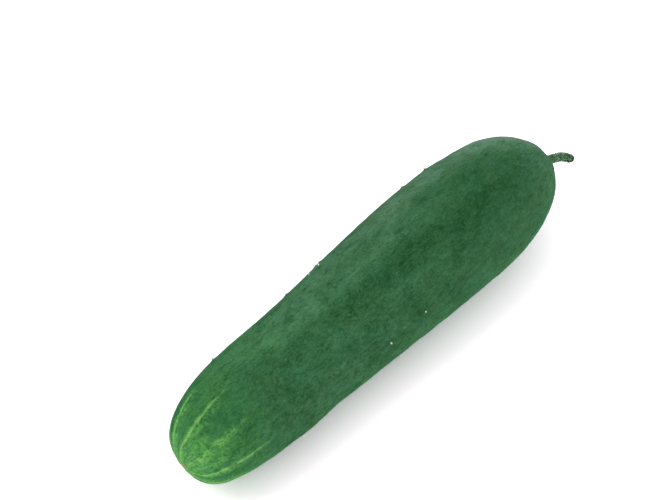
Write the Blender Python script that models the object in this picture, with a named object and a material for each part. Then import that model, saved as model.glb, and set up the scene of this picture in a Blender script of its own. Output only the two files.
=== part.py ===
"""A whole green slicing cucumber with its cut stem, lying on its side.

The fruit lies along X: its blossom end is at -X and its stem end at +X. Angles round the fruit
start at +Y and turn towards +Z, so 90 degrees is the top and 270 degrees the underside. The origin
is the middle of the small flat that the fruit rests on.
"""

import math
import random

import bmesh
import bpy
import numpy as np
from mathutils import Matrix, Vector

MM = 0.001

# The fruit's driving sizes, in metres.
LENGTH = 0.2250            # blossom tip to stem seat
BLOSSOM_GIRTH = 0.0244     # radius of the thinner half
STEM_GIRTH = 0.0282        # radius of the thicker half
SWELL_FROM, SWELL_TO = 0.25, 0.69   # shares of the length between which the fruit thickens
BLOSSOM_REACH = 0.327      # share of the length that the blunt blossom end takes to round off
BLOSSOM_BLUNTNESS = 3.29   # exponent of its curve: 2 is an ellipse, and more is blunter
STEM_REACH = 0.246
STEM_BLUNTNESS = 2.01
BLOSSOM_LEAN = (-0.0031, 0.0006)    # how far the blossom end swings off the core line, along Y and Z
STEM_LEAN = (0.0002, -0.0011)
SEAT_OFFSET = (-0.0036, -0.0008)    # how far the stem's seat lies off the middle of its end
SEAT_DRIFT = 0.0085                 # radius within which the rings drift over to the seat
BOW = (-0.0008, 0.0014)             # how far both ends curve away from the middle, along Y and Z
REST_DEPTH = 0.00010                # how deep the weight presses the flat into the underside

# The relief that runs along the fruit: three blunt lobes, and soft ridges at uneven angles.
LOBE_SHARE = 0.010
LOBE_TURN = math.radians(60)
RIDGES = np.radians([2, 44, 88, 142, 186, 229, 272, 316])
RIDGE_HEIGHT = 0.00026
END_RIDGE_HEIGHT = 0.00052
END_RIDGE_REACH = 0.22

# Swellings and hollows: share of the length, angle, height in metres, reach in shares, reach in degrees.
SWELLINGS = (
    (0.235, 210, 0.00035, 0.035, 35),
    (0.310, 210, -0.00050, 0.035, 35),
    (0.550, 120, -0.00030, 0.060, 30),
    (0.820, 30, -0.00070, 0.045, 40),
    (0.640, 285, 0.00035, 0.050, 35),
    (0.370, 340, -0.00035, 0.060, 40),
)

# Long slow waves: waves in the length, its phase, waves round the fruit, its phase. All are one height.
SLOW_WAVES = ((2.3, 0.8, 1, -1.1), (4.1, 0.0, 2, 0.6))
SLOW_WAVE_HEIGHT = 0.00012

# The scar that the flower left lies off the middle of the blunt end, along Y and Z, and draws the
# ridges to itself within the flow radius. The seat is what the stem stands on.
SCAR_PLACE = (0.0032, -0.0060)
SCAR_RADIUS = 0.0024
SCAR_DEPTH = 0.0006
FLOW_RADIUS = 0.0140
SEAT_RADIUS = 0.0040
SEAT_DEPTH = 0.0010
PIT_RADIUS = 0.0085

# Spines stand in rows low on both sides, given as (angle, how many), with none where the fruit
# rests. The upper side has a few single spines, and some warts that have lost theirs, given as
# (share of the length, angle).
SPINE_ROWS = ((196, 4), (221, 5), (314, 5), (337, 6), (6, 5))
UPPER_SPINES = ((0.17, 32), (0.366, 37), (0.419, 46), (0.446, 47), (0.451, 36), (0.459, 39), (0.70, 34),
                (0.760, 38), (0.529, 162), (0.438, 166))
BARE_WARTS = ((0.438, 105), (0.519, 115), (0.688, 121), (0.30, 150), (0.84, 82))
SPINE_SHARES = (0.12, 0.87)
SPINE_STEP_STRAY = 0.36                 # stray along a row, as a share of the step between spines
SPINE_STRAY = math.radians(7)
SPINE_TILT = math.radians(10)
SPINE_SIDES = 6
WART_ROOT_RADIUS = 0.001375
WART_RADIUS = 0.0011
WART_HEIGHT = 0.00034
WART_RIM_DEPTH = 0.00005                # how far below the skin the wart is at its full radius
BARE_WART_HEIGHT = 0.00039
SPINE_FOOT_RADIUS = 0.00054
SPINE_RADIUS = 0.00036
SPINE_SHOULDER = 0.00042                # height up to which the spine keeps its radius
SPINE_HEIGHT = 0.0011
SPINE_ROOT = 0.0009
SPINE_SEED = 11

# The cut stem.
JOINT_GAP = 0.0003
STEM_FOOT_RADIUS = 0.0034
STEM_RADIUS = 0.00186
STEM_FOOT_LENGTH = 0.0052
STEM_RIM_LENGTH, STEM_RIM_SHRINK = 0.0016, 0.30         # the cut's worn rim, and how much it shrinks
STEM_RIBS = 5
STEM_RIB_SHARE = 0.12
STEM_PATH = tuple(
    Vector(point) * MM
    for point in ((0, 0, 0), (2.4, -0.1, -0.5), (4.6, -0.5, -1.1), (7.4, -1.7, -1.35),
                  (9.9, -3.3, -1.95), (12.6, -5.9, -3.75))
)
STEM_PATH_SAMPLES = 20
PRICKLE_ROWS = 11
PRICKLE_FIRST_ROW = 3                   # rows of the same spacing left bare at the foot
PRICKLES_A_ROW = 5
PRICKLE_STAGGER = 0.16                  # how far each row is turned, as a share of the step round it
PRICKLE_ROOT_RADIUS = 0.00031
PRICKLE_RADIUS = 0.00026
PRICKLE_HEIGHT = 0.00045
PRICKLE_ROOT = 0.0004
PRICKLE_SIDES = 4

# Mesh fineness.
TIP_RINGS = (0.0016, 0.0032, 0.0048, 0.0062, 0.0076, 0.0090, 0.0108)    # run of the rings by the tip
RINGS = 60
STEPS_ROUND = 54
STEM_RINGS = 16
STEM_STEPS = 20
PROFILE_SAMPLES = 6000
SHARP_ANGLE = math.radians(50)          # edges sharper than this are shaded as creases

SKIN_GREEN = (0.030, 0.110, 0.042)
STEM_GREEN = (0.035, 0.095, 0.040)


def clear_scene():
    for old in list(bpy.data.objects):
        bpy.data.objects.remove(old)


def smooth(low, high, value):
    """0 below low, 1 above high, and an S curve between them."""
    t = np.clip((value - low) / (high - low), 0, 1)
    return t * t * (3 - 2 * t)


def rounding(share, reach, bluntness):
    """A superellipse end: 0 at the tip, 1 from reach onwards."""
    t = np.clip(share / reach, 0, 1)
    return (1 - (1 - t) ** bluntness) ** (1 / bluntness)


def girth(share):
    """The fruit's radius without its rounded ends."""
    return BLOSSOM_GIRTH + (STEM_GIRTH - BLOSSOM_GIRTH) * smooth(SWELL_FROM, SWELL_TO, share)


def profile(share):
    """The fruit's mean radius, with its rounded ends."""
    blossom = rounding(share, BLOSSOM_REACH, BLOSSOM_BLUNTNESS)
    stem = rounding(1 - share, STEM_REACH, STEM_BLUNTNESS)
    return girth(share) * blossom * stem


def core_line(share):
    """The middle of each cross-section: a radius above the floor, bowed, and swung aside at both ends."""
    blossom = np.clip(1 - share / BLOSSOM_REACH, 0, 1) ** 3
    stem = np.clip(1 - (1 - share) / STEM_REACH, 0, 1) ** 3
    seat = np.exp(-((profile(share) / SEAT_DRIFT) ** 2)) * (share > 0.5)
    bow = (2 * share - 1) ** 2
    y, z = (
        BOW[k] * bow + BLOSSOM_LEAN[k] * blossom + STEM_LEAN[k] * stem + SEAT_OFFSET[k] * seat
        for k in (0, 1)
    )
    return (share - 0.5) * LENGTH, y, z + girth(share) - REST_DEPTH


def flow(share, angle):
    """A point's place in its cross-section, along Y and Z, from where the ridges meet: the scar for
    points as near the tip as the scar, and the core line further up."""
    mean = profile(share)
    scar_y, scar_z = SCAR_PLACE
    pull = np.exp((scar_y**2 + scar_z**2 - mean**2) / FLOW_RADIUS**2) * (share < 0.5)
    return mean * np.cos(angle) - pull * scar_y, mean * np.sin(angle) - pull * scar_z


def ridge_wave(angle):
    """1 on each ridge and -1 in each groove, whatever the ridges' spacing."""
    turns = 2 * math.pi * np.arange(len(RIDGES) + 1)
    places = np.append(RIDGES, RIDGES[0] + 2 * math.pi)
    return np.cos(np.interp((angle - RIDGES[0]) % (2 * math.pi) + RIDGES[0], places, turns))


def relief(share, angle):
    """How far the skin stands off the mean radius: ridges, swellings and the long slow waves."""
    to_end = np.minimum(share, 1 - share)
    flatter = (END_RIDGE_HEIGHT - RIDGE_HEIGHT) * smooth(0, END_RIDGE_REACH, to_end)
    flow_y, flow_z = flow(share, angle)
    height = (END_RIDGE_HEIGHT - flatter) * ridge_wave(np.arctan2(flow_z, flow_y))
    for place, turn, rise, reach, spread in SWELLINGS:
        across = (np.degrees(angle) - turn + 180) % 360 - 180
        height = height + rise * np.exp(-((share - place) / reach) ** 2 - (across / spread) ** 2)
    for along, start, around, turned in SLOW_WAVES:
        wave = np.sin(2 * math.pi * along * share + start) * np.cos(around * angle + turned)
        height = height + SLOW_WAVE_HEIGHT * wave
    return height


def skin(share, angle):
    """The skin's point at a share of the length and an angle, as arrays of x, y and z."""
    x, y, z = core_line(share)
    mean = profile(share)
    fullness = mean / girth(share)
    radius = mean * (1 + LOBE_SHARE * np.cos(3 * (angle - LOBE_TURN)) * fullness)
    radius = radius + relief(share, angle) * fullness
    pit = SEAT_DEPTH * np.exp(-((np.maximum(mean - SEAT_RADIUS, 0) / PIT_RADIUS) ** 2))
    scar = SCAR_DEPTH * np.exp(-((np.hypot(*flow(share, angle)) / SCAR_RADIUS) ** 2))
    x = x - pit * (share > 0.5) + scar * (share < 0.5)
    return np.stack(np.broadcast_arrays(x, y + radius * np.cos(angle), z + radius * np.sin(angle)), -1)


def ring_shares():
    """Shares of the length at even steps along the profile, with the seat's rim as the last ring."""
    share = 0.5 - 0.5 * np.cos(math.pi * np.linspace(0, 1, PROFILE_SAMPLES))
    radius = profile(share)
    run = np.concatenate([[0], np.cumsum(np.hypot(np.diff(share * LENGTH), np.diff(radius)))])
    rim = run[np.nonzero(radius > SEAT_RADIUS)[0][-1]]
    return np.interp([*TIP_RINGS, *np.linspace(TIP_RINGS[-1], rim, RINGS + 1)[1:]], run, share)


def new_object(name, mesh, material):
    obj = bpy.data.objects.new(name, mesh)
    bpy.context.scene.collection.objects.link(obj)
    mesh.materials.append(material)
    mesh.shade_smooth()
    mesh.set_sharp_from_angle(angle=SHARP_ANGLE)
    return obj


def lathe_mesh(name, rings, tip=None):
    """A closed mesh through rings of points, with flat ends or, where tip is given, a pointed one."""
    rings = [np.asarray(ring) for ring in rings]
    steps = len(rings[0])
    points = np.concatenate(rings)
    faces = []
    for start in range(0, (len(rings) - 1) * steps, steps):
        for i in range(steps):
            after = (i + 1) % steps
            faces.append((start + i, start + after, start + steps + after, start + steps + i))
    faces.append(tuple(reversed(range(steps))))
    last = (len(rings) - 1) * steps
    if tip is None:
        faces.append(tuple(range(last, last + steps)))
    else:
        points = np.vstack([points, tip])
        faces += [(last + i, last + (i + 1) % steps, len(points) - 1) for i in range(steps)]
    mesh = bpy.data.meshes.new(name)
    mesh.from_pydata(points.tolist(), [], faces)
    mesh.update()
    return mesh


def cut_rest_flat(mesh):
    """Cuts the underside off at the floor, and closes it with one flat face."""
    shape = bmesh.new()
    shape.from_mesh(mesh)
    everything = shape.verts[:] + shape.edges[:] + shape.faces[:]
    cut = bmesh.ops.bisect_plane(
        shape, geom=everything, plane_co=(0, 0, 0), plane_no=(0, 0, -1), clear_outer=True, dist=1e-7)
    rim = [edge for edge in cut["geom_cut"] if isinstance(edge, bmesh.types.BMEdge)]
    bmesh.ops.edgeloop_fill(shape, edges=rim)
    bmesh.ops.recalc_face_normals(shape, faces=shape.faces[:])
    shape.to_mesh(mesh)
    shape.free()


def skin_frame(share, angle):
    """A frame on the skin whose Z stands straight out of it."""
    step = 1e-3
    here = skin(share, angle)
    along = skin(share + step, angle) - skin(share - step, angle)
    around = skin(share, angle + step) - skin(share, angle - step)
    outward = Vector(np.cross(around, along)).normalized()
    return Matrix.Translation(here) @ outward.to_track_quat("Z", "Y").to_matrix().to_4x4()


def spine_places():
    """Where each spine stands, as (share, angle): even steps along a row, each with a seeded stray."""
    draw = random.Random(SPINE_SEED)
    first, last = SPINE_SHARES
    places = [(share, math.radians(turn)) for share, turn in UPPER_SPINES]
    for turn, count in SPINE_ROWS:
        step = (last - first) / count
        for i in range(count):
            share = first + step * (i + 0.5 + draw.uniform(-SPINE_STEP_STRAY, SPINE_STEP_STRAY))
            places.append((share, math.radians(turn) + draw.uniform(-SPINE_STRAY, SPINE_STRAY)))
    return places


def cone(sides, steps, tip_height):
    """Rings of a small cone that stands on the XY plane, from (radius, height) steps, and its tip."""
    turns = 2 * math.pi * np.arange(sides) / sides
    rings = [np.stack([r * np.cos(turns), r * np.sin(turns), np.full(sides, h)], -1) for r, h in steps]
    return lathe_mesh("cone", rings, tip=(0, 0, tip_height))


def make_spines(material):
    """Each spine is a low wart with a short prickle on it, its root sunk in the flesh."""
    wart = (
        (WART_ROOT_RADIUS, -SPINE_ROOT),
        (WART_RADIUS, -WART_RIM_DEPTH),
        (SPINE_FOOT_RADIUS, WART_HEIGHT),
    )
    spine = (*wart, (SPINE_RADIUS, SPINE_SHOULDER))
    draw = random.Random(SPINE_SEED + 1)
    places = [(place, spine, SPINE_HEIGHT) for place in spine_places()]
    places += [((share, math.radians(turn)), wart, BARE_WART_HEIGHT) for share, turn in BARE_WARTS]
    spines = []
    for i, ((share, angle), steps, tip_height) in enumerate(places):
        piece = new_object(f"spine_{i:02d}", cone(SPINE_SIDES, steps, tip_height), material)
        lean = Matrix.Rotation(draw.uniform(-SPINE_TILT, SPINE_TILT), 4, "X")
        turned = Matrix.Rotation(draw.uniform(0, 2 * math.pi), 4, "Z")
        piece.matrix_world = skin_frame(share, angle) @ turned @ lean
        spines.append(piece)
    return spines


def fuse(body, repeats):
    """Joins the repeats to the body with one Boolean union, and removes them."""
    group = bpy.data.collections.new(f"{body.name}_repeats")
    bpy.context.scene.collection.children.link(group)
    for repeat in repeats:
        group.objects.link(repeat)
    join = body.modifiers.new("join", "BOOLEAN")
    join.operation = "UNION"
    join.operand_type = "COLLECTION"
    join.collection = group
    join.solver = "EXACT"
    bpy.context.view_layer.objects.active = body
    bpy.ops.object.modifier_apply(modifier=join.name)
    for repeat in repeats:
        bpy.data.objects.remove(repeat)
    bpy.data.collections.remove(group)


def make_fruit(material):
    turns = 2 * math.pi * np.arange(STEPS_ROUND) / STEPS_ROUND
    shares = ring_shares()
    rings = [skin(share, turns) for share in shares[::-1]]
    tip = skin(0.0, 0.0)
    mesh = lathe_mesh("fruit", rings, tip=tip)
    cut_rest_flat(mesh)
    fruit = new_object("fruit", mesh, material)
    fuse(fruit, make_spines(material))
    return fruit


def stem_seat():
    """The middle of the flat seat at the stem end."""
    rim = skin(ring_shares()[-1], np.radians(np.arange(0, 360, 5)))
    return Vector(rim.mean(axis=0))


def stem_curve(count):
    """Points evenly along a smooth curve through STEM_PATH, and the curve's direction at each."""
    knots = np.array(STEM_PATH)
    ends = np.vstack([2 * knots[0] - knots[1], knots, 2 * knots[-1] - knots[-2]])
    dense = []
    t = np.linspace(0, 1, STEM_PATH_SAMPLES, endpoint=False)[:, None]
    for a, b, c, d in zip(ends, ends[1:], ends[2:], ends[3:]):
        bend = (2 * a - 5 * b + 4 * c - d) * t**2 + (3 * b - a - 3 * c + d) * t**3
        dense.append(b + 0.5 * ((c - a) * t + bend))
    dense = np.vstack(dense + [knots[-1:]])
    run = np.concatenate([[0], np.cumsum(np.linalg.norm(np.diff(dense, axis=0), axis=1))])
    wanted = np.linspace(0, run[-1], count)
    points = np.stack([np.interp(wanted, run, dense[:, k]) for k in range(3)], -1)
    return wanted, points, np.gradient(points, axis=0)


def stem_radius(run, turn, length):
    """The stem's radius: a flared foot, five ribs, and a worn rim round the cut."""
    foot = np.clip(1 - run / STEM_FOOT_LENGTH, 0, 1) ** 2
    mean = STEM_RADIUS + (STEM_FOOT_RADIUS - STEM_RADIUS) * foot
    rim = np.clip(1 - (length - run) / STEM_RIM_LENGTH, 0, 1) ** 2
    ribbed = 1 + STEM_RIB_SHARE * (1 - foot) * np.cos(STEM_RIBS * turn)
    return mean * ribbed * (1 - STEM_RIM_SHRINK * rim)


def stem_frames(points, directions):
    """For each point on the stem's line, two unit vectors square to it that don't twist."""
    side = Vector((0, 0, 1))
    frames = []
    for point, direction in zip(points, directions):
        forward = Vector(direction).normalized()
        side = (side - forward * side.dot(forward)).normalized()
        frames.append((np.array(point), np.array(side), np.array(forward.cross(side))))
    return frames


def make_stem(material):
    turns = 2 * math.pi * np.arange(STEM_STEPS) / STEM_STEPS
    run, points, directions = stem_curve(STEM_RINGS)
    directions[0] = (1, 0, 0)
    frames = stem_frames(points, directions)
    rings = []
    for distance, (point, side, across) in zip(run, frames):
        radius = stem_radius(distance, turns, run[-1])[:, None]
        rings.append(point + radius * (np.cos(turns)[:, None] * side + np.sin(turns)[:, None] * across))
    stem = new_object("stem", lathe_mesh("stem", rings), material)
    fuse(stem, make_prickles(material))
    stem.location = stem_seat() + Vector((JOINT_GAP, 0, 0))
    return stem


def make_prickles(material):
    """Short stiff prickles on the stem's ribs, in staggered rows, clear of its foot and its cut."""
    steps = ((PRICKLE_ROOT_RADIUS, -PRICKLE_ROOT), (PRICKLE_RADIUS, 0.0))
    run, points, directions = stem_curve(PRICKLE_FIRST_ROW + PRICKLE_ROWS + 1)
    frames = stem_frames(points, directions)
    prickles = []
    for row in range(PRICKLE_FIRST_ROW, PRICKLE_FIRST_ROW + PRICKLE_ROWS):
        point, side, across = frames[row]
        for i in range(PRICKLES_A_ROW):
            turn = 2 * math.pi * (i + PRICKLE_STAGGER * (-1) ** row) / PRICKLES_A_ROW
            outward = math.cos(turn) * side + math.sin(turn) * across
            place = Vector(point + outward * stem_radius(run[row], turn, run[-1]))
            cone_mesh = cone(PRICKLE_SIDES, steps, PRICKLE_HEIGHT)
            prickle = new_object(f"prickle_{row}_{i}", cone_mesh, material)
            turned = Vector(outward).to_track_quat("Z", "Y").to_matrix().to_4x4()
            prickle.matrix_world = Matrix.Translation(place) @ turned
            prickles.append(prickle)
    return prickles


def plain_material(name, colour, roughness):
    material = bpy.data.materials.new(name)
    material.use_nodes = True
    surface = material.node_tree.nodes["Principled BSDF"]
    surface.inputs["Base Color"].default_value = (*colour, 1)
    surface.inputs["Roughness"].default_value = roughness
    surface.inputs["Metallic"].default_value = 0.0
    material.diffuse_color = (*colour, 1)
    return material


def main():
    clear_scene()
    cucumber = bpy.data.objects.new("cucumber", None)
    bpy.context.scene.collection.objects.link(cucumber)
    for piece in (
        make_fruit(plain_material("cucumber_skin", SKIN_GREEN, 0.42)),
        make_stem(plain_material("stem_green", STEM_GREEN, 0.75)),
    ):
        piece.parent = cucumber


main()
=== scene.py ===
"""A whole green slicing cucumber with its cut stem, lying on a white table.

The fruit lies along X, its blossom end at -X and its stem end at +X. Angles round it start at +Y and
turn towards +Z, so 90 degrees is the top. "Share" is a place along the fruit, 0 at the blossom tip and
1 at the stem end. Lengths are in metres.
"""

import math
import random

import bpy
import numpy as np
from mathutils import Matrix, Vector


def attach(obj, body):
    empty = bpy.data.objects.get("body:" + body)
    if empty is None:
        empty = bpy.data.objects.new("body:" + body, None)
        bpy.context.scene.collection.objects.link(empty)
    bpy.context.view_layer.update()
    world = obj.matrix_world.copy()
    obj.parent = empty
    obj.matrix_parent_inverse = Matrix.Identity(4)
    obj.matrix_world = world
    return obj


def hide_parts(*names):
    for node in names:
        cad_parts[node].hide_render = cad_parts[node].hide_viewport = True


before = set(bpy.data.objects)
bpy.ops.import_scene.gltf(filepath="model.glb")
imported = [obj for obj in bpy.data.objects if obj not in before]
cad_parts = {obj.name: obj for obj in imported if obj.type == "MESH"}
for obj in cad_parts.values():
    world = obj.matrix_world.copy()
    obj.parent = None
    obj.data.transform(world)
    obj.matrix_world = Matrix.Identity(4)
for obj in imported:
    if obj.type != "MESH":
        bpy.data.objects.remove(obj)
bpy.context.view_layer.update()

MM = 0.001
TURN = 2 * math.pi

# The fruit's driving sizes, as in the solid: its length, and the radius of its thinner and its thicker
# half, which ease into each other between two shares.
LENGTH = 0.2250
BLOSSOM_GIRTH, STEM_GIRTH = 0.0244, 0.0282
SWELL_FROM, SWELL_TO = 0.25, 0.69

# Its rounded ends: the share that each takes to round off, and the exponent of its curve.
BLOSSOM_REACH, BLOSSOM_BLUNTNESS = 0.327, 3.29
STEM_REACH, STEM_BLUNTNESS = 0.246, 2.01

# How far its core line strays along Y and Z: at each end, at the stem's seat and, bowed, all along. Its
# weight presses the flat that it rests on in by the rest depth.
BLOSSOM_LEAN, STEM_LEAN = (-0.0031, 0.0006), (0.0002, -0.0011)
SEAT_OFFSET, SEAT_DRIFT = (-0.0036, -0.0008), 0.0085
BOW = (-0.0008, 0.0014)
REST_DEPTH = 0.00010

# Its relief: three blunt lobes, soft ridges at uneven angles, and swellings and hollows, each given as
# share, angle, height, reach in shares and reach in degrees.
LOBE_SHARE, LOBE_TURN = 0.010, math.radians(60)
RIDGES = np.radians([2, 44, 88, 142, 186, 229, 272, 316])
RIDGE_HEIGHT, END_RIDGE_HEIGHT, END_RIDGE_REACH = 0.00026, 0.00052, 0.22
SWELLINGS = (
    (0.235, 210, 0.00035, 0.035, 35),
    (0.310, 210, -0.00050, 0.035, 35),
    (0.550, 120, -0.00030, 0.060, 30),
    (0.820, 30, -0.00070, 0.045, 40),
    (0.640, 285, 0.00035, 0.050, 35),
    (0.370, 340, -0.00035, 0.060, 40),
)

# Long slow waves: waves in the length, its phase, waves round the fruit, its phase. All are one height.
SLOW_WAVES = ((2.3, 0.8, 1, -1.1), (4.1, 0.0, 2, 0.6))
SLOW_WAVE_HEIGHT = 0.00012

# The scar that the flower left draws the ridges to itself within the flow radius. The seat is what the
# stem stands on.
SCAR_PLACE, SCAR_RADIUS, SCAR_DEPTH = (0.0032, -0.0060), 0.0024, 0.0006
FLOW_RADIUS = 0.0140
SEAT_RADIUS, SEAT_DEPTH, PIT_RADIUS = 0.0040, 0.0010, 0.0085

# Spines and warts, as in the solid: rows as (angle, how many), the rest as (share, angle).
SPINE_ROWS = ((196, 4), (221, 5), (314, 5), (337, 6), (6, 5))
UPPER_SPINES = ((0.17, 32), (0.366, 37), (0.419, 46), (0.446, 47), (0.451, 36), (0.459, 39), (0.70, 34),
                (0.760, 38), (0.529, 162), (0.438, 166))
BARE_WARTS = ((0.438, 105), (0.519, 115), (0.688, 121), (0.30, 150), (0.84, 82))
SPINE_SHARES = (0.12, 0.87)
SPINE_STEP_STRAY, SPINE_STRAY = 0.36, math.radians(7)
SPINE_SEED = 11
WART_HEIGHT, WART_SPREAD = 0.00038, 0.00110

# A spine's profile from its root up, as (radius, height), and how far spines lean.
SPINE_PROFILE = (
    (0.00036, -0.00030), (0.00039, 0.00022), (0.00038, 0.00036), (0.00031, 0.00050),
    (0.00024, 0.00066), (0.00018, 0.00082), (0.00012, 0.00096), (0.00005, 0.00106),
)
SPINE_LEAN = 0.12

# The stem, as in the solid.
JOINT_GAP = 0.0003
STEM_FOOT_RADIUS, STEM_FOOT_LENGTH = 0.0034, 0.0052
STEM_RADIUS = 0.00186
STEM_RIM_LENGTH, STEM_RIM_SHRINK = 0.0016, 0.30
STEM_RIBS, STEM_RIB_SHARE = 5, 0.12
STEM_PATH = tuple(
    Vector(point) * MM
    for point in ((0, 0, 0), (2.4, -0.1, -0.5), (4.6, -0.5, -1.1), (7.4, -1.7, -1.35),
                  (9.9, -3.3, -1.95), (12.6, -5.9, -3.75))
)

# The stem's foot is sunk into the fruit. Its cut is a dish whose wall stands between two shares of its
# radius, and its rings run from a share near the rim to one near the middle.
FOOT_SINK = 0.0008
CUT_DISH, DISH_FLOOR, DISH_RIM = 0.00025, 0.50, 0.92
CUT_RINGS, CUT_FIRST, CUT_LAST = 14, 0.93, 0.06

# Stiff hairs on the stem, between two shares of its length. They stray round it by a share of the step
# between ribs. Their profile is given as a spine's is.
HAIR_COUNT, HAIRS_FROM, HAIRS_TO = 400, 0.30, 0.91
HAIR_STRAY, HAIR_LEAN, HAIR_SINK = 0.20, 0.30, 0.00008
HAIR_SEED = 21
HAIR_PROFILE = ((0.00017, -0.00020), (0.00016, 0.00008), (0.00011, 0.00024), (0.00005, 0.00042))

# Fine relief, each kind made of random waves: depth, wave size, seed, how long the waves are drawn
# along X, and how far they are lowered, so that most of them cut inward.
SKIN_RELIEF = (
    (0.000045, 0.0110, 3, 1.0, 1.2),
    (0.000022, 0.0042, 4, 1.0, 1.2),
    (0.000014, 0.0026, 5, 6.0, 1.2),
)
STEM_RELIEF = ((0.00008, 0.0016, 8, 1.0, 0.8), (0.00003, 0.0008, 9, 1.0, 0.8))
CUT_RELIEF = ((0.00003, 0.0007, 10, 1.0, 1.0),)
WAVE_COUNT = 28

# Mesh fineness. The seat is closed by a few rings that shrink to an inner share of its rim, and its
# middle is the mean of samples round the rim.
FRUIT_RINGS, FRUIT_STEPS = 384, 248
SEAT_RINGS, SEAT_INNER, SEAT_SAMPLES = 6, 0.1, 72
STEM_RINGS, STEM_STEPS = 130, 80
SPINE_SIDES, HAIR_SIDES = 12, 6
PROFILE_SAMPLES, CURVE_SAMPLES = 8000, 60
TIP_RISE = 0.3                  # how far a cone's point stands past its last ring, in its radii
ASKEW = (0.31, 0.17, 0.93)      # a direction that no cone's axis takes

# Pale streaks that run up from the scar: flow angle, share where they end, half width, brightness, and
# the half width of the speckled halo round them.
STREAKS = (
    (55, 0.120, 0.00046, 0.85, 0.0014), (89, 0.130, 0.00058, 1.15, 0.0013),
    (112, 0.050, 0.00030, 0.20, 0.0030), (127, 0.130, 0.00150, 0.42, 0.0026),
    (137, 0.070, 0.00036, 0.25, 0.0040), (164, 0.150, 0.00058, 0.80, 0.0018),
    (192, 0.085, 0.00045, 0.48, 0.0030), (203, 0.120, 0.00055, 0.72, 0.0020),
    (238, 0.140, 0.00060, 0.85, 0.0024), (275, 0.130, 0.00060, 0.80, 0.0020),
    (309, 0.150, 0.00065, 0.95, 0.0024), (322, 0.080, 0.00040, 0.45, 0.0030),
    (345, 0.120, 0.00055, 0.80, 0.0020), (16, 0.145, 0.00060, 0.90, 0.0018),
    (29, 0.080, 0.00040, 0.45, 0.0016),
)

# Lighter and darker bands along the skin: angle, half width in degrees, first and last share, strength.
# They sway by some degrees, some times over the length, and fade in and out round their ends.
BANDS = (
    # The first band, at 59 degrees on the side that faces up and away, is a painted sheen.
    (59, 18, 0.11, 1.08, 0.40), (83, 9, 0.16, 0.66, 0.50), (112, 11, 0.18, 0.94, -0.20),
    (126, 10, 0.24, 0.68, 0.20), (166, 14, 0.14, 0.90, -0.10), (190, 12, 0.10, 0.90, 0.06),
    (208, 9, 0.10, 0.90, -0.20), (229, 12, 0.12, 0.95, 0.26), (250, 9, 0.10, 0.95, -0.22),
    (272, 12, 0.10, 0.90, 0.24), (295, 10, 0.10, 0.95, -0.24), (316, 13, 0.12, 0.90, 0.30),
    (338, 9, 0.12, 0.95, -0.20), (2, 12, 0.10, 0.90, 0.28), (24, 10, 0.10, 0.92, -0.16),
)
BAND_SWAY, BAND_SWAYS = 6, 1.3
BAND_FADE_IN, BAND_FADE_OUT = (-0.08, 0.10), (-0.15, 0.05)

# Lighter and darker patches: share, angle, half length in share, half width in degrees, strength. They
# stand at the blossom end, then along the body, then at the stem end.
# The darker patch at 43 degrees near the blossom end is a painted shade, and the lighter one at 64 degrees
# near the stem end is a painted sheen.
PATCHES = (
    (0.028, 54, 0.022, 8, -0.22), (0.032, 92, 0.035, 9, -0.46), (0.035, 175, 0.040, 7, -0.42),
    (0.040, 127, 0.022, 10, 0.18), (0.045, 43, 0.055, 16, -0.60), (0.045, 157, 0.035, 9, -0.30),
    (0.055, 190, 0.050, 10, 0.38), (0.120, 105, 0.030, 20, 0.20),

    (0.200, 122, 0.030, 8, -0.14), (0.230, 56, 0.050, 11, 0.24), (0.245, 97, 0.040, 9, 0.28),
    (0.280, 155, 0.040, 12, 0.16), (0.345, 86, 0.030, 9, 0.22), (0.355, 124, 0.030, 8, 0.12),
    (0.360, 160, 0.045, 10, 0.16), (0.450, 106, 0.035, 6, 0.14), (0.450, 146, 0.040, 8, 0.18),
    (0.460, 92, 0.035, 9, 0.14), (0.470, 127, 0.045, 9, 0.14), (0.550, 124, 0.035, 6, -0.14),
    (0.555, 138, 0.040, 8, 0.14), (0.590, 70, 0.070, 10, 0.22), (0.600, 108, 0.050, 8, -0.16),
    (0.620, 93, 0.060, 9, 0.33), (0.745, 66, 0.050, 10, 0.16), (0.755, 110, 0.055, 11, -0.18),

    (0.830, 92, 0.030, 7, 0.14), (0.830, 130, 0.035, 10, -0.14), (0.845, 66, 0.030, 8, 0.20),
    (0.860, 58, 0.050, 14, 0.30), (0.865, 55, 0.060, 10, 0.14), (0.878, 156, 0.030, 14, -0.16),
    (0.885, 84, 0.040, 10, 0.24), (0.900, 108, 0.040, 16, -0.30), (0.930, 64, 0.050, 27, 0.62),
    (0.930, 150, 0.030, 12, 0.12), (0.932, 124, 0.016, 9, 0.26), (0.950, 92, 0.020, 12, 0.36),
)

# The side of the skin that carries a painted sheen, which draws its bloom paler and bluer: its angle, and
# its half width in degrees along the body and at the stem end. The sheen comes in over the first shares.
# The stem end begins over the others, and has some dusty bloom all round.
SHEEN_ANGLE, SHEEN_HALF_WIDTH, SHEEN_END_WIDTH = 52, 24, 50
SHEEN_FROM, DUST_AND_SHEEN_END, DUST_ALL_ROUND = (0.18, 0.75), (0.80, 0.97), 0.33

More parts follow.
